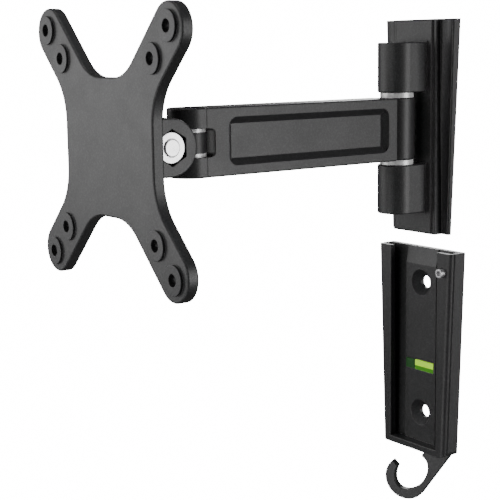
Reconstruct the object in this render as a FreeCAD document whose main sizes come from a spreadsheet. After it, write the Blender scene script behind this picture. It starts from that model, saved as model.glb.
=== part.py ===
# Full motion monitor wall mount: wall bracket with a tapered channel, slide plate with a
# knuckle hinge, single arm, swivel block and tilting plate with 75 and 100 mm hole squares.
# Frame: origin midway between the two wall screw holes on the wall plane, +X right,
# +Y towards the wall, +Z up.  The slide plate is stored lifted clear above its channel.
import FreeCAD, Part
import os
import re

DIMENSIONS = [
    ("bracket_top", 53.5, "top of the wall bracket above the origin"),
    ("bracket_bottom", 54.0, "bottom of the wall bracket below the origin"),
    ("bracket_depth", 11.2, "wall plane to the front of the channel lips"),
    ("bracket_wall", 2.1, "side wall of the channel"),
    ("bottom_wall", 3.4, "thickness of the closed bottom of the channel"),
    ("lip_opening", 33.6, "clear width between the two lips"),
    ("strip_front", 5.6, "raised floor strip, face above the wall plane"),
    ("strip_width", 22.0, "width of the raised floor strip"),
    ("ramp_length", 9.0, "lead-in ramp at the top of the floor strip"),
    ("wall_hole_spacing", 70.0, "distance between the two wall screw holes"),
    ("wall_hole_dia", 6.8, "wall screw clearance hole"),
    ("countersink_dia", 13.8, "countersink mouth on the floor strip"),
    ("lip_round", 2.6, "rounding of the outer front edges of the bracket"),
    ("groove_radius", 1.15, "shadow groove along each side of the bracket"),
    ("vial_below", 9.6, "level window below the origin"),
    ("vial_height", 5.2, "height of the level vial block"),
    ("vial_holder", 7.0, "length of the plastic holder left of the vial"),
    ("vial_end_gap", 1.6, "end of the vial from the right edge of the floor strip"),
    ("vial_split", 0.5, "gap between the holder and the vial"),
    ("vial_floor", 0.6, "bracket skin left behind the level"),
    ("vial_bore", 1.8, "radius of the bore that holds the vial's liquid"),
    ("lock_x", 21.2, "lock screw to the centre plane"),
    ("lock_below_top", 9.9, "lock screw below the top of the bracket"),
    ("lock_dia", 4.4, "lock screw thread"),
    ("lock_head_dia", 4.7, "lock screw head"),
    ("lock_head", 1.5, "height of the lock screw head"),
    ("lock_front", 14.3, "lock screw outer end in front of the wall plane"),
    ("lock_tip", 9.2, "lock screw tip in front of the wall plane"),
    ("lock_socket", 2.5, "width across flats of the lock screw socket"),
    ("hook_angle", 25.0, "turn of the cable hook away from the wall plane, degrees"),
    ("hook_thick", 4.2, "thickness of the cable hook"),
    ("hook_root_x", 22.0, "right end of the hook root, from the centre plane"),
    ("hook_root_y", 3.9, "front of the hook root, before the wall plane"),
    ("hook_reach", 25.6, "centre of the hook bend from the right end of its root"),
    ("hook_drop", 69.9, "centre of the hook bend below the origin"),
    ("hook_outer", 11.6, "outer radius of the hook bend"),
    ("hook_eye_long", 11.25, "long half axis of the hook's oval opening"),
    ("hook_eye_short", 7.62, "short half axis of that opening"),
    ("hook_eye_slope", 52.0, "slope of its long axis, degrees"),
    ("hook_neck", 16.6, "width of the hook where it leaves the bracket"),
    ("hook_slope", 56.0, "slope of the outer edge of the hook neck, degrees"),
    ("plate_height", 107.6, "height of the slide plate"),
    ("flange_low", 20.4, "half width of the slide plate at its bottom"),
    ("flange_high", 24.3, "half width of the slide plate at its top"),
    ("flange_front_low", 7.0, "front of the flange at the bottom, before the wall plane"),
    ("flange_front_high", 8.4, "front of the flange at the top"),
    ("flange_back_low", 4.8, "back of the flange at the bottom"),
    ("flange_back_high", 3.7, "back of the flange at the top"),
    ("raised_half", 13.3, "half width of the raised centre of the slide plate"),
    ("raised_front", 12.2, "front of the raised centre, before the wall plane"),
    ("ledge_half", 15.2, "half width of the step beside the raised centre"),
    ("ledge_front", 11.1, "front of that step, before the wall plane"),
    ("corner_step", 0.6, "small step along the flange's outer front edge"),
    ("cove_radius", 7.0, "radius of the shallow cove along each flange"),
    ("cove_depth", 0.8, "depth of that cove"),
    ("cove_inset", 4.0, "cove centre from the flange's outer edge"),
    ("fit_gap", 0.3, "clearance between slide plate and channel"),
    ("lift", 113.0, "height of the stored slide plate above its seat"),
    ("arm_above_plate", 53.8, "arm mid-height above the bottom of the slide plate"),
    ("wall_axis", 23.3, "wall hinge axis before the wall plane"),
    ("arm_length", 125.0, "wall hinge axis to head hinge axis"),
    ("arm_half_height", 15.4, "half height of the arm"),
    ("arm_half_width", 9.5, "half width of the arm beam"),
    ("beam_end", 32.0, "square end of the beam before the wall plane"),
    ("neck_half", 6.5, "half width of the neck between beam and barrel"),
    ("wall_barrel", 8.8, "radius of the arm barrel"),
    ("knuckle_radius", 9.6, "radius of the slide plate's knuckles"),
    ("head_barrel", 10.0, "radius of the fork lugs"),
    ("swivel_barrel", 7.5, "radius of the swivel block between the lugs"),
    ("knuckle_in", 18.0, "inner end of each knuckle from the arm mid-height"),
    ("knuckle_out", 42.6, "outer end of each knuckle from the arm mid-height"),
    ("wall_washer", 8.4, "radius of the bright washers at the wall hinge"),
    ("head_washer", 7.4, "radius of the bright washers in the fork"),
    ("tilt_washer", 8.6, "radius of the thin washers beside the tilt barrel"),
    ("slot_half", 6.4, "half height of the fork slot"),
    ("slot_radius", 12.0, "radius of the fork slot about the head hinge"),
    ("slot_round", 2.0, "rounding where the slot's wall meets its faces"),
    ("recess_depth", 3.1, "depth of the recessed panel in the arm side"),
    ("recess_half", 7.75, "half height of the panel floor"),
    ("recess_corner", 4.5, "corner radius of that panel"),
    ("recess_head_end", 130.3, "panel floor end next to the head, before the wall plane"),
    ("recess_wall_end", 40.2, "panel floor end next to the wall hinge"),
    ("bolt_dia", 8.0, "shank of the hinge and tilt bolts"),
    ("bolt_clear", 0.05, "radial running clearance on the bolts"),
    ("bush_radius", 5.5, "outer radius of the plain bushes"),
    ("face_gap", 0.05, "running gap between stacked faces"),
    ("head_radius", 6.5, "radius of the bolt heads"),
    ("nut_flats", 13.0, "width across flats of the nuts"),
    ("nut_face", 20.9, "outer face of the tilt nut"),
    ("nut_face_dia", 13.4, "round outer part of the tilt nut"),
    ("nut_hex", 2.0, "height of the tilt nut's hexagon, deep in its pocket"),
    ("bolt_tip_dia", 7.3, "end of the tilt bolt outside the nut"),
    ("cap_recess", 0.6, "depth of the upper head cap below the arm's top"),
    ("bolt_end", 21.7, "free end of the tilt bolt"),
    ("lug_square", 2.5, "length of the flat sides behind the fork lugs"),
    ("sink_radius", 7.7, "radius of the bolt head and nut sinks"),
    ("sink_depth", 5.0, "depth of those sinks"),
    ("cap_thick", 1.0, "thickness of the sink caps"),
    ("head_to_tilt", 23.0, "head hinge axis to tilt axis"),
    ("swivel_half", 4.65, "half height of the swivel block barrel"),
    ("tilt_barrel", 10.2, "radius of the tilt barrel"),
    ("tilt_half", 10.3, "half width of the tilt barrel"),
    ("ear_in", 11.3, "inner face of each tilt ear"),
    ("ear_out", 21.5, "outer face of each tilt ear"),
    ("ear_radius", 12.5, "radius of the tilt ears"),
    ("ear_sink", 6.3, "depth of the nut pocket and head sink in the ears"),
    ("pocket_flats", 13.8, "width across flats of the nut pocket"),
    ("tilt_to_front", 19.0, "tilt axis to the front face of the screen plate"),
    ("screen_thick", 5.5, "thickness of the screen plate"),
    ("screen_skin", 2.6, "skin of the screen plate over its hollow back"),
    ("screen_rim", 2.4, "rim around the hollow back"),
    ("screen_half_width", 36.2, "half width of the screen plate body"),
    ("screen_half_height", 29.7, "half height of the screen plate body"),
    ("screen_arm_half", 10.75, "half width of the diagonal arms"),
    ("screen_tip", 49.0, "centre of each arm tip from the centre lines"),
    ("large_square", 100.0, "outer hole square"),
    ("small_square", 75.0, "inner hole square"),
    ("screen_hole_dia", 5.4, "screen screw hole"),
    ("boss_radius", 6.35, "raised boss around each screen hole"),
    ("boss_height", 1.2, "height of the bosses"),
]

doc = FreeCAD.newDocument("wall_mount")
sheet = doc.addObject("Spreadsheet::Sheet", "dims")
for row, (alias, number, meaning) in enumerate(DIMENSIONS, start=1):
    sheet.set("A%d" % row, meaning)
    sheet.set("B%d" % row, str(number))
    sheet.setAlias("B%d" % row, alias)
doc.recompute()

ALIASES = re.compile(r"\b(%s)\b" % "|".join(alias for alias, _, _ in DIMENSIONS))


def linked(formula):
    return ALIASES.sub(r"dims.\1", formula)
UPRIGHT = FreeCAD.Rotation()
ALONG_X = FreeCAD.Rotation(FreeCAD.Vector(0, 1, 0), 90)
ALONG_Y = FreeCAD.Rotation(FreeCAD.Vector(1, 0, 0), -90)
TURNS = {"x": ALONG_X, "y": ALONG_Y, "z": UPRIGHT}
pieces = []

# Heights and depths that several pieces share.
SEAT = "(bottom_wall - bracket_bottom)"
PLATE_LOW = "(%s + lift)" % SEAT
PLATE_HIGH = "(%s + plate_height)" % PLATE_LOW
ARM_Z = "(%s + arm_above_plate)" % PLATE_LOW
WALL_Y = "(-wall_axis)"
HEAD_Y = "(-wall_axis - arm_length)"
TILT_Y = "(-wall_axis - arm_length - head_to_tilt)"
FACE_Y = "(%s - tilt_to_front)" % TILT_Y
BACK_Y = "(%s + screen_thick)" % FACE_Y
FLARE = "((flange_high - flange_low) / plate_height)"
FRONT_FLARE = "((flange_front_high - flange_front_low) / plate_height)"
BACK_FLARE = "((flange_back_low - flange_back_high) / plate_height)"


def bind(obj, **formulas):
    """Tie properties of an object to expressions of the sheet's names."""
    for name, formula in formulas.items():
        obj.setExpression(name, linked(str(formula)))
    return obj


def place(obj, x, y, z, turn=UPRIGHT):
    """Put an object at a bound position."""
    obj.Placement = FreeCAD.Placement(FreeCAD.Vector(), turn)
    for axis, formula in zip("xyz", (x, y, z)):
        obj.setExpression("Placement.Base." + axis, linked(str(formula)))
    return obj


def box(x_from, x_to, y_from, y_to, z_from, z_to):
    """A box between two bound corners."""
    solid = bind(doc.addObject("Part::Box", "box"),
                 Length="(%s) - (%s)" % (x_to, x_from),
                 Width="(%s) - (%s)" % (y_to, y_from),
                 Height="(%s) - (%s)" % (z_to, z_from))
    return place(solid, x_from, y_from, z_from)


def slab(half, y_from, y_to, z_from, z_to):
    """A box that is symmetric about the centre plane."""
    return box("-(%s)" % half, half, y_from, y_to, z_from, z_to)


def rod(axis, radius, x, y, z, length):
    """A cylinder that starts at a point and runs up one axis."""
    solid = bind(doc.addObject("Part::Cylinder", "rod"), Radius=radius, Height=length)
    return place(solid, x, y, z, TURNS[axis])


def cone(axis, start, end, x, y, z, length):
    """A cone between two radii that starts at a point and runs up one axis."""
    solid = bind(doc.addObject("Part::Cone", "cone"), Radius1=start, Radius2=end, Height=length)
    return place(solid, x, y, z, TURNS[axis])


def hexagon(axis, flats, x, y, z, length):
    """A hexagonal prism, sized across its flats."""
    solid = bind(doc.addObject("Part::Prism", "hexagon"), Height=length,
                 Circumradius="(%s) / sqrt(3)" % flats)
    solid.Polygon = 6
    return place(solid, x, y, z, TURNS[axis])


def ring(axis, outer, inner, x, y, z, length):
    """A plain ring: washer or bush."""
    return cut(rod(axis, outer, x, y, z, length), rod(axis, inner, x, y, z, length))


def taper(low_half, high_half, low_front, high_front, low_back, high_back, z_from, z_to):
    """An upright slab that widens and thickens with height; depths count from the wall."""
    solid = bind(doc.addObject("Part::Wedge", "taper"),
                 Xmin="-(%s)" % low_half, Xmax=low_half,
                 X2min="-(%s)" % high_half, X2max=high_half,
                 Ymin="0", Ymax="(%s) - (%s)" % (z_to, z_from),
                 Zmin=low_back, Zmax=low_front, Z2min=high_back, Z2max=high_front)
    return place(solid, 0, 0, z_from, FreeCAD.Rotation(FreeCAD.Vector(1, 0, 0), 90))


def fuse(*solids):
    joined = doc.addObject("Part::MultiFuse", "fuse")
    joined.Shapes = list(solids)
    joined.Refine = True
    return joined


def cut(solid, *tools):
    result = doc.addObject("Part::Cut", "cut")
    result.Base = solid
    result.Tool = tools[0] if len(tools) == 1 else fuse(*tools)
    result.Refine = True
    return result


def common(first, second):
    result = doc.addObject("Part::MultiCommon", "common")
    result.Shapes = [first, second]
    result.Refine = True
    return result


def rounded(solid, radius, chosen):
    """Round the edges whose middle point and direction pass the test."""
    doc.recompute()
    edges = []
    for number, edge in enumerate(solid.Shape.Edges, start=1):
        half_way = (edge.FirstParameter + edge.LastParameter) / 2
        if chosen(edge.valueAt(half_way), edge.tangentAt(half_way)):
            edges.append((number, radius, radius))
    if not edges:
        raise RuntimeError("no edge to round on " + solid.Name)
    result = doc.addObject("Part::Fillet", "rounded")
    result.Base = solid
    result.Edges = edges
    return result


def piece(name, solid):
    """Register a finished sub-part."""
    solid.Label = name
    pieces.append(solid)
    return solid


def level(point, height):
    return abs(point.z - height) < 0.01


# ---- wall bracket ---------------------------------------------------------------------
top_half = "(flange_low + fit_gap + bracket_wall + %s * (bracket_top - %s))" % (FLARE, SEAT)
low_half = "(flange_low + fit_gap + bracket_wall - %s * bottom_wall)" % FLARE
outline_shape = (low_half, top_half, "bracket_depth", "bracket_depth", "0", "0",
                 "-bracket_bottom", "bracket_top")
plan = rounded(taper(*outline_shape), sheet.get("lip_round"),
               lambda at, way: abs(way.z) > 0.99 and at.y < -5)
plan = rounded(plan, 1.2, lambda at, way: abs(way.z) > 0.99 and at.y > -0.01)
front = rounded(taper(*outline_shape), 3.0, lambda at, way: abs(way.y) > 0.99 and at.z < 0)
shell = common(plan, front)

reach = "(bracket_top + 2 - %s)" % SEAT
channel = taper("flange_low + fit_gap", "flange_low + fit_gap + %s * %s" % (FLARE, reach),
                "flange_front_low + fit_gap",
                "flange_front_low + fit_gap + %s * %s" % (FRONT_FLARE, reach),
                "flange_back_low - fit_gap",
                "flange_back_low - fit_gap - %s * %s" % (BACK_FLARE, reach),
                SEAT, "bracket_top + 2")
opening = slab("lip_opening / 2", "-bracket_depth - 1", "-flange_back_low", SEAT, "bracket_top + 2")
grooves = []
for side in (-1, 1):
    groove = rod("z", "groove_radius", "%d * (%s + 0.35)" % (side, low_half),
                 "-bracket_depth + lip_round", "-bracket_bottom - 1",
                 "bracket_top + bracket_bottom + 2")
    groove.Placement.Rotation = FreeCAD.Rotation(FreeCAD.Vector(0, side, 0), 1)
    groove.setExpression("Placement.Rotation.Angle",
                         linked("atan(%s)" % FLARE))
    grooves.append(groove)
shell = cut(shell, channel, opening, *grooves)
lip_edge = sheet.get("lip_opening") / 2
shell = rounded(shell, 0.6, lambda at, way: at.y < -11.1 and abs(way.y) < 0.1 and
                abs(at.x) < lip_edge + 0.01 and at.z > -51)

strip = slab("strip_width / 2", "-strip_front", "-0.5", "%s - 1" % SEAT, "bracket_top")
ramp = taper("strip_width / 2 + 1", "strip_width / 2 + 1",
             "strip_front + 1", "strip_front + 1", "strip_front + 0.01",
             "strip_front - 1.7", "bracket_top - ramp_length", "bracket_top + 0.01")
floor = cut(strip, ramp)
shell = fuse(shell, floor)

sinks = []
for side in (-1, 1):
    height = "%d * wall_hole_spacing / 2" % side
    sinks.append(rod("y", "wall_hole_dia / 2", 0, "-strip_front - 1", height, "strip_front + 2"))
    sinks.append(cone("y", "countersink_dia / 2 + 1", "wall_hole_dia / 2", 0,
                      "-strip_front - 1", height, "(countersink_dia - wall_hole_dia) / 2 + 1"))
vial_low = "(-vial_below - vial_height / 2)"
vial_high = "(-vial_below + vial_height / 2)"
window = box("-strip_width / 2", "strip_width / 2 - vial_end_gap + 0.15", "-strip_front - 1",
             "-vial_floor", vial_low, "%s + 0.4" % vial_high)
lock_z = "(bracket_top - lock_below_top)"
lock_hole = rod("y", "lock_dia / 2 + 0.05", "lock_x", "-bracket_depth - 1", lock_z,
                "bracket_depth - flange_front_low + 1")
piece("wall_bracket", cut(shell, window, lock_hole, *sinks))

# Cable hook: a flat J drawn in its own plane, x to the right from the root's right end.
bend = rod("y", "hook_outer", "-hook_reach", 0, "-hook_drop", "hook_thick")
neck = box(0, "60", 0, "hook_thick", 0, "hook_neck")
neck.Placement.Rotation = FreeCAD.Rotation(FreeCAD.Vector(0, -1, 0), 1)
neck.setExpression("Placement.Rotation.Angle", "dims.hook_slope")
for axis, formula in (("x", "-hook_reach + hook_outer * sin(hook_slope * 1deg)"),
                      ("z", "-hook_drop - hook_outer * cos(hook_slope * 1deg)")):
    neck.setExpression("Placement.Base." + axis, linked(formula))
hook = fuse(bend, neck)
oval = bind(doc.addObject("Part::Ellipse", "oval"), MajorRadius="hook_eye_long",
            MinorRadius="hook_eye_short")
oval.Placement.Rotation = (FreeCAD.Rotation(FreeCAD.Vector(0, -1, 0), sheet.get("hook_eye_slope")) *
                           FreeCAD.Rotation(FreeCAD.Vector(1, 0, 0), 90))
for axis, formula in (("x", "-hook_reach + 3.0"), ("y", "-1"), ("z", "-hook_drop + 3.7")):
    oval.setExpression("Placement.Base." + axis, linked(formula))
eye = bind(doc.addObject("Part::Extrusion", "eye"), LengthFwd="hook_thick + 2")
eye.Base = oval
eye.DirMode = "Custom"
eye.Dir = FreeCAD.Vector(0, 1, 0)
eye.Solid = True
mouth = box(0, 22, -1, "hook_thick + 1", 0, 12)
place(mouth, "-hook_reach - 2", -1, "-hook_drop + 3.4", FreeCAD.Rotation(FreeCAD.Vector(0, 1, 0), -45))
above = box(-80, 60, -1, "hook_thick + 1", "-bracket_bottom", 60)
beside = box(-80, "-hook_neck", -1, "hook_thick + 1", "-bracket_bottom - 5", 0)
hook = rounded(cut(hook, eye, mouth, above, beside), 0.5,
               lambda at, way: -50 < at.x < -3 and at.z < -55 and
               (at.y < 0.01 or at.y > 4.19) and abs(way.y) < 0.01)
piece("cable_hook", place(hook, "hook_root_x", "-hook_root_y", 0,
                          FreeCAD.Rotation(FreeCAD.Vector(0, 0, 1), 25)))
hook.setExpression("Placement.Rotation.Angle", "dims.hook_angle")

# Level in the bracket floor: a plastic holder, a clear block with a bore and its liquid.
vial_from = "(-strip_width / 2 + vial_holder)"
vial_to = "(strip_width / 2 - vial_end_gap)"
vial_mid = "(-(strip_front + vial_floor) / 2)"
piece("level_holder", box("-strip_width / 2", "%s - vial_split" % vial_from,
                          "-strip_front + 0.3", "-vial_floor", vial_low, vial_high))
block = box(vial_from, vial_to, "-strip_front + 0.1", "-vial_floor", vial_low, vial_high)
bore_length = "%s - %s - 2" % (vial_to, vial_from)
bore = rod("x", "vial_bore", "%s + 1" % vial_from, vial_mid, "-vial_below", bore_length)
piece("level_vial", cut(block, bore))
piece("level_fluid", rod("x", "vial_bore", "%s + 1" % vial_from, vial_mid, "-vial_below",
                         bore_length))

# Lock screw in the right lip, backed out.
head = rod("y", "lock_head_dia / 2", "lock_x", "-lock_front", lock_z, "lock_head")
head = rounded(head, 0.3, lambda at, way: True)
neck = rod("y", "lock_dia / 2 - 0.35", "lock_x", "-lock_front + lock_head - 0.1", lock_z, "0.5")
shank = rod("y", "lock_dia / 2 - 0.05", "lock_x", "-lock_front + lock_head + 0.3", lock_z,
            "lock_front - lock_tip - lock_head - 0.3")
socket = hexagon("y", "lock_socket", "lock_x", "-lock_front - 1", lock_z, "2.9")
piece("lock_screw", cut(fuse(head, neck, shank), socket))

# ---- slide plate ----------------------------------------------------------------------
back_layer = taper("flange_low", "flange_high", "flange_front_low - corner_step",
                   "flange_front_high - corner_step", "flange_back_low", "flange_back_high",
                   PLATE_LOW, PLATE_HIGH)
front_layer = taper("flange_low - corner_step", "flange_high - corner_step",
                    "flange_front_low", "flange_front_high",
                    "flange_back_low", "flange_back_high", PLATE_LOW, PLATE_HIGH)
lean = FreeCAD.Vector(sheet.get("flange_high") - sheet.get("flange_low"),
                      sheet.get("flange_front_low") - sheet.get("flange_front_high"),
                      sheet.get("plate_height"))
coves = []
for side in (-1, 1):
    cove = rod("z", "cove_radius", "%d * (flange_low - cove_inset - 4 * %s)" % (side, FLARE),
               "-flange_front_low - cove_radius + cove_depth + 4 * %s" % FRONT_FLARE,
               "%s - 4" % PLATE_LOW, "plate_height + 8")
    cove.Placement.Rotation = FreeCAD.Rotation(FreeCAD.Vector(0, 0, 1),
                                               FreeCAD.Vector(side * lean.x, lean.y, lean.z))
    coves.append(cove)
plate = cut(fuse(back_layer, front_layer), *coves)
step = slab("ledge_half", "-ledge_front", "-flange_front_low + 1", PLATE_LOW, PLATE_HIGH)
step = rounded(step, 0.6, lambda at, way: at.y < -11 and abs(way.z) > 0.99)
raised = slab("raised_half", "-raised_front", "-flange_front_low + 1", PLATE_LOW, PLATE_HIGH)
raised = rounded(raised, 1.0, lambda at, way: at.y < -12 and abs(way.y) < 0.01)
plate = fuse(plate, step, raised)
clearance = slab("strip_width / 2 + 0.8", "-strip_front - 0.8", "0", "%s - 1" % PLATE_LOW,
                 "%s + 1" % PLATE_HIGH)
plate = cut(plate, clearance)

bolt_radius = "bolt_dia / 2"
knuckles = []
bores = [rod("z", bolt_radius, 0, WALL_Y, "%s - knuckle_out - 1" % ARM_Z, "2 * knuckle_out + 2")]
for side in (-1, 1):
    z_from = "%s + %s" % (ARM_Z, "knuckle_in" if side > 0 else "(-knuckle_out)")
    z_to = "%s + knuckle_out - knuckle_in" % z_from
    knuckle = fuse(rod("z", "knuckle_radius", 0, WALL_Y, z_from, "knuckle_out - knuckle_in"),
                   slab("knuckle_radius", WALL_Y, "-raised_front + 1", z_from, z_to))
    doc.recompute()
    ends = (knuckle.Shape.BoundBox.ZMin, knuckle.Shape.BoundBox.ZMax)
    knuckle = rounded(knuckle, 0.7, lambda at, way: at.y < -13.0 and
                      (level(at, ends[0]) or level(at, ends[1])))
    knuckles.append(knuckle)
    knuckles.append(slab("knuckle_radius + 0.6", "-raised_front - 0.7", "-raised_front + 1",
                         "%s - 0.6" % z_from, "%s + 0.6" % z_to))
    bores.append(rod("z", "sink_radius", 0, WALL_Y,
                     "%s + %s" % (ARM_Z, "knuckle_out - sink_depth - cap_thick" if side > 0
                                  else "(-knuckle_out - 1)"), "sink_depth + cap_thick + 1"))
piece("slide_plate", cut(fuse(plate, *knuckles), *bores))

head_from = "%s + knuckle_out - cap_thick - sink_depth" % ARM_Z
nut_from = "%s - knuckle_out + cap_thick" % ARM_Z
shank = rod("z", bolt_radius, 0, WALL_Y, nut_from, "2 * (knuckle_out - cap_thick) - 1")
head = rod("z", "head_radius", 0, WALL_Y, head_from, "sink_depth")
key = hexagon("z", "5", 0, WALL_Y, "%s + 1" % head_from, "sink_depth")
piece("wall_hinge_bolt", cut(fuse(shank, head), key))
piece("wall_hinge_nut", cut(hexagon("z", "nut_flats", 0, WALL_Y, nut_from, "sink_depth"),
                            rod("z", bolt_radius, 0, WALL_Y, nut_from, "sink_depth")))
piece("wall_hinge_cap_top", rod("z", "sink_radius", 0, WALL_Y,
                                "%s + knuckle_out - cap_thick" % ARM_Z, "cap_thick"))
piece("wall_hinge_cap_bottom", rod("z", "sink_radius", 0, WALL_Y,
                                   "%s - knuckle_out" % ARM_Z, "cap_thick"))
washer_thick = "(knuckle_in - arm_half_height - face_gap)"
piece("wall_washer_upper", ring("z", "wall_washer", "bolt_dia / 2 + 0.3", 0, WALL_Y,
                                "%s + arm_half_height + face_gap" % ARM_Z, washer_thick))
piece("wall_washer_lower", ring("z", "wall_washer", "bolt_dia / 2 + 0.3", 0, WALL_Y,
                                "%s - knuckle_in" % ARM_Z, washer_thick))

# ---- arm ------------------------------------------------------------------------------
arm_low = "%s - arm_half_height" % ARM_Z
arm_high = "%s + arm_half_height" % ARM_Z
arm = fuse(slab("arm_half_width", HEAD_Y, "-beam_end", arm_low, arm_high),
           slab("neck_half", "-beam_end - 1", WALL_Y, arm_low, arm_high),
           rod("z", "head_barrel", 0, HEAD_Y, arm_low, "2 * arm_half_height"),
           slab("head_barrel", HEAD_Y, "%s + lug_square" % HEAD_Y, arm_low, arm_high),
           rod("z", "wall_barrel", 0, WALL_Y, arm_low, "2 * arm_half_height"))
doc.recompute()
ends = (arm.Shape.BoundBox.ZMin, arm.Shape.BoundBox.ZMax)
arm = rounded(arm, 0.8, lambda at, way: level(at, ends[0]) or level(at, ends[1]))
panels = []
for side in (-1, 1):
    near, far = ("recess_wall_end", "recess_head_end") if side > 0 else \
                ("(-recess_head_end)", "(-recess_wall_end)")
    flare = "(recess_depth + 1)"
    panel = bind(doc.addObject("Part::Wedge", "panel"),
                 Ymin="arm_half_width - recess_depth", Ymax="arm_half_width + 1",
                 Xmin=near, Xmax=far, X2min="%s - %s" % (near, flare), X2max="%s + %s" % (far, flare),
                 Zmin="-recess_half", Zmax="recess_half",
                 Z2min="-recess_half - %s" % flare, Z2max="recess_half + %s" % flare)
    place(panel, 0, 0, ARM_Z, FreeCAD.Rotation(FreeCAD.Vector(0, 0, 1), -90 * side))
    x_ends = ("arm_half_width - recess_depth - 0.1", "arm_half_width + 1")
    if side < 0:
        x_ends = ("-arm_half_width - 1", "-arm_half_width + recess_depth + 0.1")
    outline_box = box(*x_ends, "-recess_head_end - recess_depth", "-recess_wall_end + recess_depth",
                      "%s - recess_half - recess_depth" % ARM_Z,
                      "%s + recess_half + recess_depth" % ARM_Z)
    outline_box = rounded(outline_box, sheet.get("recess_corner"),
                          lambda at, way: abs(way.x) > 0.99)
    panels.append(common(panel, outline_box))
slot = rod("z", "slot_radius", 0, HEAD_Y, "%s - slot_half" % ARM_Z, "2 * slot_half")
slot = rounded(slot, sheet.get("slot_round"), lambda at, way: abs(way.z) < 0.01)
bores = [rod("z", "bush_radius", 0, WALL_Y, "%s - 1" % arm_low, "2 * arm_half_height + 2"),
         rod("z", bolt_radius, 0, HEAD_Y, "%s - 1" % arm_low, "2 * arm_half_height + 2"),
         rod("z", "sink_radius", 0, HEAD_Y, "%s - sink_depth - cap_thick" % arm_high,
             "sink_depth + cap_thick + 1"),
         rod("z", "sink_radius", 0, HEAD_Y, "%s - 1" % arm_low, "sink_depth + cap_thick + 1")]
piece("arm_beam", cut(arm, slot, *(panels + bores)))

for name, z_from in (("wall_bush_upper", ARM_Z), ("wall_bush_lower", arm_low)):
    piece(name, ring("z", "bush_radius", "bolt_dia / 2 + bolt_clear", 0, WALL_Y, z_from,
                     "arm_half_height"))
head_from = "%s - cap_thick - sink_depth" % arm_high
nut_from = "%s + cap_thick" % arm_low
shank = rod("z", bolt_radius, 0, HEAD_Y, nut_from, "2 * (arm_half_height - cap_thick) - 1")
head = rod("z", "head_radius", 0, HEAD_Y, head_from, "sink_depth - cap_recess")
key = hexagon("z", "5", 0, HEAD_Y, "%s + 1" % head_from, "sink_depth")
piece("head_hinge_bolt", cut(fuse(shank, head), key))
piece("head_hinge_nut", cut(hexagon("z", "nut_flats", 0, HEAD_Y, nut_from, "sink_depth"),
                            rod("z", bolt_radius, 0, HEAD_Y, nut_from, "sink_depth")))
piece("head_cap_top", rod("z", "sink_radius", 0, HEAD_Y, "%s - cap_thick - cap_recess" % arm_high,
                          "cap_thick"))
piece("head_cap_bottom", rod("z", "sink_radius", 0, HEAD_Y, arm_low, "cap_thick"))

# ---- swivel block ---------------------------------------------------------------------
block = fuse(rod("z", "swivel_barrel", 0, HEAD_Y, "%s - swivel_half" % ARM_Z, "2 * swivel_half"),
             slab("neck_half", TILT_Y, HEAD_Y, "%s - swivel_half" % ARM_Z,
                  "%s + swivel_half" % ARM_Z),
             rod("x", "tilt_barrel", "-tilt_half", TILT_Y, ARM_Z, "2 * tilt_half"))
piece("swivel_block", cut(block,
                          rod("z", "bush_radius", 0, HEAD_Y, "%s - 30" % ARM_Z, "60"),
                          rod("x", "bush_radius", "-30", TILT_Y, ARM_Z, "60")))
piece("head_bush", ring("z", "bush_radius", "bolt_dia / 2 + bolt_clear", 0, HEAD_Y,
                        "%s - swivel_half" % ARM_Z, "2 * swivel_half"))
washer_thick = "(slot_half - swivel_half - face_gap)"
piece("head_washer_upper", ring("z", "head_washer", "bolt_dia / 2 + 0.3", 0, HEAD_Y,
                                "%s + swivel_half" % ARM_Z, washer_thick))
piece("head_washer_lower", ring("z", "head_washer", "bolt_dia / 2 + 0.3", 0, HEAD_Y,
                                "%s - swivel_half - %s" % (ARM_Z, washer_thick), washer_thick))
piece("tilt_bush", ring("x", "bush_radius", "bolt_dia / 2 + bolt_clear", "-tilt_half", TILT_Y,
                        ARM_Z, "2 * tilt_half"))

# ---- screen plate with its tilt ears --------------------------------------------------
def outline(half_width, half_height, arm_half, y_from, y_to):
    """The plate's cross outline: a core with four diagonal arms and round tips."""
    parts = [slab(half_width, y_from, y_to, "%s - (%s)" % (ARM_Z, half_height),
                  "%s + (%s)" % (ARM_Z, half_height))]
    for tilt in (-45, 45):
        beam = box(0, "2 * sqrt(2) * screen_tip", 0, "(%s) - (%s)" % (y_to, y_from),
                   0, "2 * (%s)" % arm_half)
        turn = FreeCAD.Rotation(FreeCAD.Vector(0, 1, 0), tilt)
        lean = -1 if tilt > 0 else 1
        place(beam, "-screen_tip + %d * (%s) / sqrt(2)" % (lean, arm_half), y_from,
              "%s - %d * screen_tip - (%s) / sqrt(2)" % (ARM_Z, lean, arm_half), turn)
        parts.append(beam)
    for side_x in (-1, 1):
        for side_z in (-1, 1):
            parts.append(rod("y", arm_half, "%d * screen_tip" % side_x, y_from,
                             "%s + %d * screen_tip" % (ARM_Z, side_z),
                             "(%s) - (%s)" % (y_to, y_from)))
    return fuse(*parts)


screen = outline("screen_half_width", "screen_half_height", "screen_arm_half", FACE_Y, BACK_Y)
doc.recompute()
middle = screen.Shape.BoundBox.Center
corner_x = sheet.get("screen_half_width")
corner_z = sheet.get("screen_half_height")
screen = rounded(screen, 26.0, lambda at, way: abs(way.y) > 0.99 and
                 abs(abs(at.x) - corner_x) < 0.01 and abs(at.z - middle.z) < 25)
screen = rounded(screen, 22.5, lambda at, way: abs(way.y) > 0.99 and
                 abs(abs(at.z - middle.z) - corner_z) < 0.01 and abs(at.x) < 20)
doc.recompute()
depths = (screen.Shape.BoundBox.YMin, screen.Shape.BoundBox.YMax)
screen = rounded(screen, 0.9, lambda at, way: abs(at.y - depths[0]) < 0.01 or
                 abs(at.y - depths[1]) < 0.01)

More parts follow.
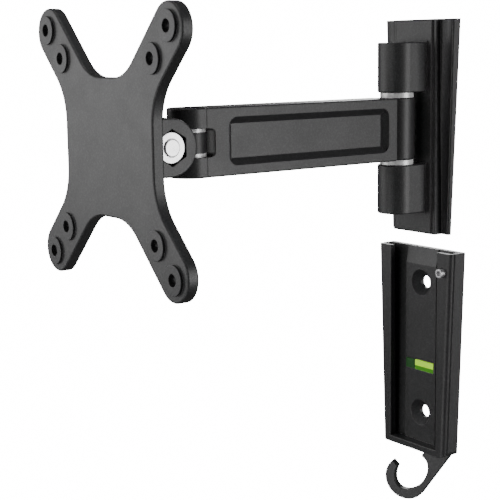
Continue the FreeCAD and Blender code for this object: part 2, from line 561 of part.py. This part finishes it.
squares = []
for square in ("large_square", "small_square"):
    for side_x in (-1, 1):
        for side_z in (-1, 1):
            squares.append(("%d * %s / 2" % (side_x, square),
                            "%s + %d * %s / 2" % (ARM_Z, side_z, square)))
bosses = [rod("y", "boss_radius", x, "%s - boss_height" % FACE_Y, z, "boss_height + 1")
          for x, z in squares]
holes = [rod("y", "screen_hole_dia / 2", x, "%s - boss_height - 1" % FACE_Y, z,
             "screen_thick + boss_height + 2") for x, z in squares]
ears = []
ear_side = sheet.get("ear_out")
sinks = [rod("x", bolt_radius, "-ear_out - 1", TILT_Y, ARM_Z, "2 * ear_out + 2"),
         hexagon("x", "pocket_flats", "ear_out - ear_sink", TILT_Y, ARM_Z, "ear_sink + 1"),
         rod("x", "sink_radius", "-ear_out - 1", TILT_Y, ARM_Z, "ear_sink + 1")]
for x_from in ("-ear_out", "ear_in"):
    ear = fuse(rod("x", "ear_radius", x_from, TILT_Y, ARM_Z, "ear_out - ear_in"),
               box(x_from, "%s + ear_out - ear_in" % x_from, "%s + 1" % FACE_Y, TILT_Y,
                   "%s - ear_radius" % ARM_Z, "%s + ear_radius" % ARM_Z))
    ears.append(rounded(ear, 0.8, lambda at, way: abs(abs(at.x) - ear_side) < 0.01 and
                        at.y > -186 and abs(way.x) < 0.01))
hollow = cut(outline("screen_half_width - screen_rim", "screen_half_height - screen_rim",
                     "screen_arm_half - screen_rim", "%s + screen_skin" % FACE_Y,
                     "%s + 1" % BACK_Y),
             slab("ear_out + 1.5", "%s - 1" % FACE_Y, "%s + 2" % BACK_Y,
                  "%s - ear_radius - 1.5" % ARM_Z, "%s + ear_radius + 1.5" % ARM_Z),
             *[rod("y", "boss_radius - 0.8", x, FACE_Y, z, "screen_thick + 2")
               for x, z in squares])
piece("vesa_plate", cut(fuse(cut(screen, hollow), *(ears + bosses)), *(holes + sinks)))

nut_from = "ear_out - ear_sink"
nut_face = sheet.get("nut_face")
collar = rod("x", "nut_face_dia / 2", "%s + nut_hex - 0.1" % nut_from, TILT_Y, ARM_Z,
             "nut_face - (ear_out - ear_sink) - nut_hex + 0.1")
collar = rounded(collar, 0.4, lambda at, way: at.x > nut_face - 0.01)
nut = fuse(hexagon("x", "nut_flats", nut_from, TILT_Y, ARM_Z, "nut_hex"), collar)
piece("tilt_nut", cut(nut, rod("x", bolt_radius, nut_from, TILT_Y, ARM_Z, "ear_sink + 1")))
tip = rod("x", "bolt_tip_dia / 2", "nut_face - 1.5", TILT_Y, ARM_Z, "bolt_end - nut_face + 1.5")
tip = rounded(tip, 0.3, lambda at, way: at.x > nut_face)
shank = fuse(rod("x", bolt_radius, "-ear_out + 1", TILT_Y, ARM_Z, "nut_face + ear_out - 2"), tip)
head = rod("x", "head_radius", "-ear_out + 1", TILT_Y, ARM_Z, "ear_sink - 1")
key = hexagon("x", "5", "-ear_out", TILT_Y, ARM_Z, "4")
piece("tilt_bolt", cut(fuse(shank, head), key))
washer_thick = "(ear_in - tilt_half - face_gap)"
piece("tilt_washer_left", ring("x", "tilt_washer", "bolt_dia / 2 + 0.3", "-ear_in", TILT_Y,
                               ARM_Z, washer_thick))
piece("tilt_washer_right", ring("x", "tilt_washer", "bolt_dia / 2 + 0.3",
                                "tilt_half + face_gap", TILT_Y, ARM_Z, washer_thick))

# ---- checks and export ----------------------------------------------------------------
doc.recompute()
for obj in doc.Objects:
    if "Invalid" in obj.State or "Error" in obj.State:
        raise RuntimeError("%s (%s) did not compute: %s" % (obj.Name, obj.Label, obj.State))
os.makedirs("parts", exist_ok=True)
for solid in pieces:
    if solid.Shape.isNull() or not solid.Shape.isValid():
        raise RuntimeError(solid.Label + " has no valid shape")
    solid.Shape.exportStep("parts/%s.step" % solid.Label)
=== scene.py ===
"""Looks of the monitor wall mount: powder-coated castings, bright washers, level vial."""
import math

import bmesh
import bpy
from mathutils import Matrix, Vector

MM = 0.001

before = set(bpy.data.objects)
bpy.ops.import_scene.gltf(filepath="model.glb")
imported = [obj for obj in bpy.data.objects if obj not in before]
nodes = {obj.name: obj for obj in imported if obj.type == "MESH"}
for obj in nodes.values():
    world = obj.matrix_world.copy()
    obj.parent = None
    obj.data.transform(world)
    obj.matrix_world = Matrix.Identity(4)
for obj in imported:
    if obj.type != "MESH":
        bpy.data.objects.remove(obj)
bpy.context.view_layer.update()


# ---- camera ---------------------------------------------------------------------------
CAMERA_PLACE = Vector((458.39, -452.96, 157.33)) * MM
CAMERA_YAW = math.radians(53.68)
CAMERA_PITCH = math.radians(9.29)
CAMERA_ROLL = math.radians(-0.86)
SENSOR_MM = 36.0
FOCAL_PER_WIDTH = 2.47454
CLIP_NEAR, CLIP_FAR = 0.01, 50


def add_camera():
    """A camera that looks down a little from the front right."""
    view = Vector((-math.sin(CAMERA_YAW) * math.cos(CAMERA_PITCH),
                   math.cos(CAMERA_YAW) * math.cos(CAMERA_PITCH),
                   -math.sin(CAMERA_PITCH)))
    level_right = Vector((math.cos(CAMERA_YAW), math.sin(CAMERA_YAW), 0))
    level_up = level_right.cross(view)
    right = level_right * math.cos(CAMERA_ROLL) + level_up * math.sin(CAMERA_ROLL)
    up = level_up * math.cos(CAMERA_ROLL) - level_right * math.sin(CAMERA_ROLL)
    data = bpy.data.cameras.new("camera")
    data.sensor_width = SENSOR_MM
    data.lens = SENSOR_MM * FOCAL_PER_WIDTH
    data.clip_start = CLIP_NEAR
    data.clip_end = CLIP_FAR
    camera = bpy.data.objects.new("camera", data)
    bpy.context.scene.collection.objects.link(camera)
    turn = Matrix((right, up, -view)).transposed()
    camera.matrix_world = Matrix.Translation(CAMERA_PLACE) @ turn.to_4x4()
    bpy.context.scene.camera = camera


# ---- material parts -------------------------------------------------------------------
METAL_ROUNDING = 0.3 * MM
PLASTIC_ROUNDING = 0.25 * MM
# Paler colours painted along edges as a highlight, for metal and for the vial.
METAL_EDGE_HIGHLIGHT = (0.93, 0.93, 0.94)
VIAL_EDGE_HIGHLIGHT = (0.86, 0.97, 0.42)
VIAL_BLEND = 0.12 * MM
BEVEL_SAMPLES = 6


def new_material(name):
    """A material with its node tree and its surface shader."""
    material = bpy.data.materials.new(name)
    material.use_nodes = True
    tree = material.node_tree
    return material, tree, tree.nodes["Principled BSDF"]


def add_node(tree, kind, **settings):
    """A node with its properties and its sockets set by name."""
    node = tree.nodes.new("ShaderNode" + kind)
    for key, setting in settings.items():
        if hasattr(node, key):
            setattr(node, key, setting)
        else:
            node.inputs[key].default_value = setting
    return node


def noise(tree, scale, detail=3.0, rough=0.5):
    """Noise in object space, scale in features per metre."""
    place = add_node(tree, "TexCoord")
    texture = add_node(tree, "TexNoise", Scale=scale, Detail=detail, Roughness=rough)
    tree.links.new(place.outputs["Object"], texture.inputs["Vector"])
    return texture.outputs["Fac"]


def spread(tree, source, low, high, start=0.0, end=1.0):
    """Map a value range onto another."""
    node = add_node(tree, "MapRange")
    for key, number in (("From Min", start), ("From Max", end),
                        ("To Min", low), ("To Max", high)):
        node.inputs[key].default_value = number
    tree.links.new(source, node.inputs["Value"])
    return node.outputs["Result"]


def mix_colour(tree, factor, first, second):
    """Mix two colours, each a plain one or a socket."""
    node = tree.nodes.new("ShaderNodeMix")
    node.data_type = "RGBA"
    tree.links.new(factor, node.inputs["Factor"])
    for socket, colour in ((node.inputs[6], first), (node.inputs[7], second)):
        if isinstance(colour, (tuple, list)):
            socket.default_value = (*colour, 1)
        else:
            tree.links.new(colour, socket)
    return node.outputs[2]


def edge_mask(tree, rounding):
    """The rounded normal, and a mask that is white where it rounds an edge off; the materials
    paint paler edges through the mask as a painted highlight, on the powder coat partly rubbed
    wear.
    """
    bevel = add_node(tree, "Bevel", samples=BEVEL_SAMPLES)
    bevel.inputs["Radius"].default_value = rounding
    plain = add_node(tree, "NewGeometry")
    dot = add_node(tree, "VectorMath", operation="DOT_PRODUCT")
    tree.links.new(bevel.outputs["Normal"], dot.inputs[0])
    tree.links.new(plain.outputs["Normal"], dot.inputs[1])
    return bevel.outputs["Normal"], spread(tree, dot.outputs["Value"], 1.0, 0.0, 0.72, 0.99)


def finish_surface(tree, shader, base, rough, normal, grain, strength, depth):
    """Connect base colour and roughness, and bump the rounded normal with a grain."""
    tree.links.new(base, shader.inputs["Base Color"])
    tree.links.new(rough, shader.inputs["Roughness"])
    bump = add_node(tree, "Bump", Strength=strength)
    bump.inputs["Distance"].default_value = depth
    tree.links.new(grain, bump.inputs["Height"])
    tree.links.new(normal, bump.inputs["Normal"])
    tree.links.new(bump.outputs["Normal"], shader.inputs["Normal"])


# ---- materials ------------------------------------------------------------------------
def powder_coat(name, dark, light, wear_and_edge_highlight, rounding, rough):
    """Satin black powder coat: orange peel, uneven gloss, and paler edges that are partly rubbed
    wear and partly a painted edge highlight.
    """
    material, tree, shader = new_material(name)
    normal, edge = edge_mask(tree, rounding)
    base = mix_colour(tree, noise(tree, 45, 3), dark, light)
    speck = spread(tree, noise(tree, 1500, 2), 0, 0.16, 0.45, 0.75)
    base = mix_colour(tree, speck, base, wear_and_edge_highlight)
    # Paler edges: the edge mask, broken up by noise, paints a highlight along the edges that also
    # stands for rubbed wear; the same pale colour gives the fine specks.
    edge_wear_and_highlight = add_node(tree, "Math", operation="MULTIPLY")
    tree.links.new(edge, edge_wear_and_highlight.inputs[0])
    tree.links.new(spread(tree, noise(tree, 160, 4), 0.35, 1.0, 0.3, 0.65), edge_wear_and_highlight.inputs[1])
    base = mix_colour(tree, edge_wear_and_highlight.outputs[0], base, wear_and_edge_highlight)
    uneven = spread(tree, noise(tree, 90, 4), rough - 0.05, rough + 0.07)
    finish_surface(tree, shader, base, uneven, normal, noise(tree, 2200, 2), 0.22, 0.05 * MM)
    shader.inputs["Specular IOR Level"].default_value = 0.55
    return material


def bright_metal(name, colour, rough, scratch, metal):
    """Plated steel with fine turning marks, soft edges and a painted highlight along the edges.
    """
    material, tree, shader = new_material(name)
    normal, edge = edge_mask(tree, METAL_ROUNDING)
    tone = mix_colour(tree, noise(tree, 220, 4), [c * 0.82 for c in colour], colour)
    # A paler colour along every edge is a painted edge highlight.
    base = mix_colour(tree, edge, tone, METAL_EDGE_HIGHLIGHT)
    uneven = spread(tree, noise(tree, 700, 5, 0.7), rough * 0.7, rough * 1.4)
    finish_surface(tree, shader, base, uneven, normal, noise(tree, 1800, 3), scratch, 0.02 * MM)
    shader.inputs["Metallic"].default_value = metal
    return material


def plastic(name, colour, rough):
    """Moulded plastic with a fine grain and a painted highlight along its edges."""
    material, tree, shader = new_material(name)
    normal, edge = edge_mask(tree, PLASTIC_ROUNDING)
    tone = mix_colour(tree, noise(tree, 130, 3), [c * 0.8 for c in colour], colour)
    # A paler colour along every edge is a painted edge highlight.
    base = mix_colour(tree, edge, tone, [min(1, c * 1.5 + 0.01) for c in colour])
    uneven = spread(tree, noise(tree, 300, 3), rough - 0.06, rough + 0.08)
    finish_surface(tree, shader, base, uneven, normal, noise(tree, 2600, 2), 0.15, 0.03 * MM)
    return material


def vial_acrylic(name, bright, deep, split):
    """Tinted acrylic, deeper in colour below a set height, with a painted highlight along its
    edges.

    A little emission stands in for the light that comes through the acrylic."""
    material, tree, shader = new_material(name)
    normal, edge = edge_mask(tree, PLASTIC_ROUNDING)
    place = add_node(tree, "TexCoord")
    parts = add_node(tree, "SeparateXYZ")
    tree.links.new(place.outputs["Object"], parts.inputs[0])
    # Deeper colour below the split height, blended over a narrow band.
    upper_band = spread(tree, parts.outputs["Z"], 0, 1, split - VIAL_BLEND, split + VIAL_BLEND)
    cloud = mix_colour(tree, noise(tree, 260, 3), [c * 0.88 for c in bright], bright)
    tone = mix_colour(tree, upper_band, deep, cloud)
    # A paler yellow-green along every edge is a painted edge highlight.
    base = mix_colour(tree, edge, tone, VIAL_EDGE_HIGHLIGHT)
    uneven = spread(tree, noise(tree, 400, 2), 0.12, 0.24)
    finish_surface(tree, shader, base, uneven, normal, noise(tree, 900, 2), 0.08, 0.03 * MM)
    shader.inputs["Specular IOR Level"].default_value = 0.3
    tree.links.new(tone, shader.inputs["Emission Color"])
    shader.inputs["Emission Strength"].default_value = 0.55
    return material


def dress(material, *names):
    """Give CAD nodes a material in place of their plain one."""
    for name in names:
        mesh = nodes[name].data
        mesh.materials.clear()
        mesh.materials.append(material)


coat = powder_coat("powder_coat", dark=(0.020, 0.020, 0.021), light=(0.029, 0.029, 0.030),
                   wear_and_edge_highlight=(0.17, 0.17, 0.175), rounding=0.35 * MM, rough=0.42)
steel = bright_metal("bright_steel", (0.84, 0.84, 0.85), rough=0.26, scratch=0.3, metal=0.85)
# The washers' near-white colour with low metalness is a painted reflection, standing in for the
# bright surroundings a chrome face would mirror.
chrome = bright_metal("chrome_washer", (0.98, 0.98, 0.98), rough=0.30, scratch=0.12, metal=0.30)
black_plastic = plastic("dark_plastic", (0.018, 0.018, 0.019), rough=0.5)
nylon = plastic("nylon", (0.040, 0.040, 0.042), rough=0.45)
holder = plastic("holder_green", (0.018, 0.100, 0.018), rough=0.4)
vial = vial_acrylic("level_vial", bright=(0.46, 0.88, 0.03), deep=(0.05, 0.20, 0.015),
                    split=-10.0 * MM)
liquid = plastic("level_green", (0.45, 0.72, 0.06), rough=0.2)

dress(coat, "wall_bracket", "cable_hook", "slide_plate", "arm_beam", "swivel_block", "vesa_plate")
dress(steel, "wall_hinge_bolt", "wall_hinge_nut", "head_hinge_bolt", "head_hinge_nut",
      "tilt_bolt", "tilt_nut", "lock_screw")
dress(chrome, "wall_washer_upper", "wall_washer_lower", "head_washer_upper", "head_washer_lower")
dress(black_plastic, "wall_hinge_cap_top", "wall_hinge_cap_bottom", "head_cap_top",
      "head_cap_bottom")
dress(nylon, "tilt_washer_left", "tilt_washer_right", "wall_bush_upper", "wall_bush_lower",
      "head_bush", "tilt_bush")
dress(holder, "level_holder")
dress(vial, "level_vial")
dress(liquid, "level_fluid")


# ---- stage, in metres -----------------------------------------------------------------
STAGE_REACH = 4.5
STAGE_FLOOR, STAGE_WALL_TOP, STAGE_CROWN = -0.75, 5.0, 6.5
STAGE_BEND = 1.5
STAGE_CAP = 0.3
BEND_STEPS, STAGE_SIDES = 16, 96
STAGE_GLOW = 16.0
WORLD_GLOW = 0.06


def stage_profile():
    """Radius and height from the middle of the floor round to the crown."""
    flat = STAGE_REACH - STAGE_BEND
    profile = [(STAGE_CAP, STAGE_FLOOR), (flat, STAGE_FLOOR)]
    for step in range(1, BEND_STEPS + 1):
        turn = math.pi / 2 * step / BEND_STEPS
        profile.append((flat + STAGE_BEND * math.sin(turn),
                        STAGE_FLOOR + STAGE_BEND - STAGE_BEND * math.cos(turn)))
    return profile + [(STAGE_REACH, STAGE_WALL_TOP), (STAGE_CAP, STAGE_CROWN)]


def add_stage():
    """A pale round sweep, closed above: a flat floor that curves up into a wall all round.

    Bounce light, reflections and shadows leave it out, so only the lamps and the dim world
    light reach the object."""
    mesh = bpy.data.meshes.new("stage")
    shape = bmesh.new()
    turns = [2 * math.pi * i / STAGE_SIDES for i in range(STAGE_SIDES)]
    rings = [[shape.verts.new((out * math.cos(turn), out * math.sin(turn), up))
              for turn in turns] for out, up in stage_profile()]
    for inner, outer in zip(rings, rings[1:]):
        for i in range(STAGE_SIDES):
            j = (i + 1) % STAGE_SIDES
            shape.faces.new((inner[i], inner[j], outer[j], outer[i])).smooth = True
    shape.faces.new(rings[0])
    shape.faces.new(rings[-1])
    shape.to_mesh(mesh)
    shape.free()
    stage = bpy.data.objects.new("stage", mesh)
    bpy.context.scene.collection.objects.link(stage)
    stage.visible_diffuse = False
    stage.visible_glossy = False
    stage.visible_shadow = False
    material, _, shader = new_material("stage_paper")
    shader.inputs["Base Color"].default_value = (0.92, 0.92, 0.92, 1)
    shader.inputs["Roughness"].default_value = 0.9
    shader.inputs["Specular IOR Level"].default_value = 0.1
    shader.inputs["Emission Color"].default_value = (1, 1, 1, 1)
    shader.inputs["Emission Strength"].default_value = STAGE_GLOW
    mesh.materials.append(material)


def add_light(name, place, aim, wide, watts, tall=None):
    """A soft rectangular lamp aimed at a point, not itself in view."""
    data = bpy.data.lights.new(name, "AREA")
    data.shape = "RECTANGLE"
    data.size = wide
    data.size_y = tall or wide
    data.energy = watts
    lamp = bpy.data.objects.new(name, data)
    bpy.context.scene.collection.objects.link(lamp)
    lamp.location = place
    lamp.rotation_euler = (Vector(aim) - Vector(place)).to_track_quat("-Z", "Y").to_euler()
    lamp.visible_camera = False


def add_lights():
    """Large softboxes left, in front, right, above and behind, and three small near ones for
    the screen plate, the bracket's side and the hook."""
    world = bpy.data.worlds.new("studio")
    world.use_nodes = True
    background = world.node_tree.nodes["Background"]
    background.inputs["Color"].default_value = (1, 1, 1, 1)
    background.inputs["Strength"].default_value = WORLD_GLOW
    bpy.context.scene.world = world
    screen, middle = (0, -0.19, 0.116), (0, -0.06, 0.10)
    low, hook = (0, -0.02, -0.02), (0, -0.02, -0.07)
    add_light("key", (-0.66, -0.86, 0.36), middle, 1.3, 5.0, tall=0.8)
    add_light("front", (0.16, -1.30, 0.25), middle, 0.6, 3.9, tall=0.9)
    add_light("plate", (-0.30, -0.46, 0.08), screen, 0.22, 0.26)
    add_light("side", (1.30, 0.62, 0.22), middle, 0.7, 10.5, tall=1.2)
    add_light("low_side", (0.62, 0.18, -0.12), low, 0.22, 0.6, tall=0.4)
    add_light("hook", (0.04, -0.54, -0.19), hook, 0.24, 0.42)
    add_light("top", (0.0, -0.2, 1.6), middle, 1.0, 5)
    add_light("rim", (-1.0, 1.1, 0.55), middle, 0.6, 6)


add_camera()
add_stage()
add_lights()
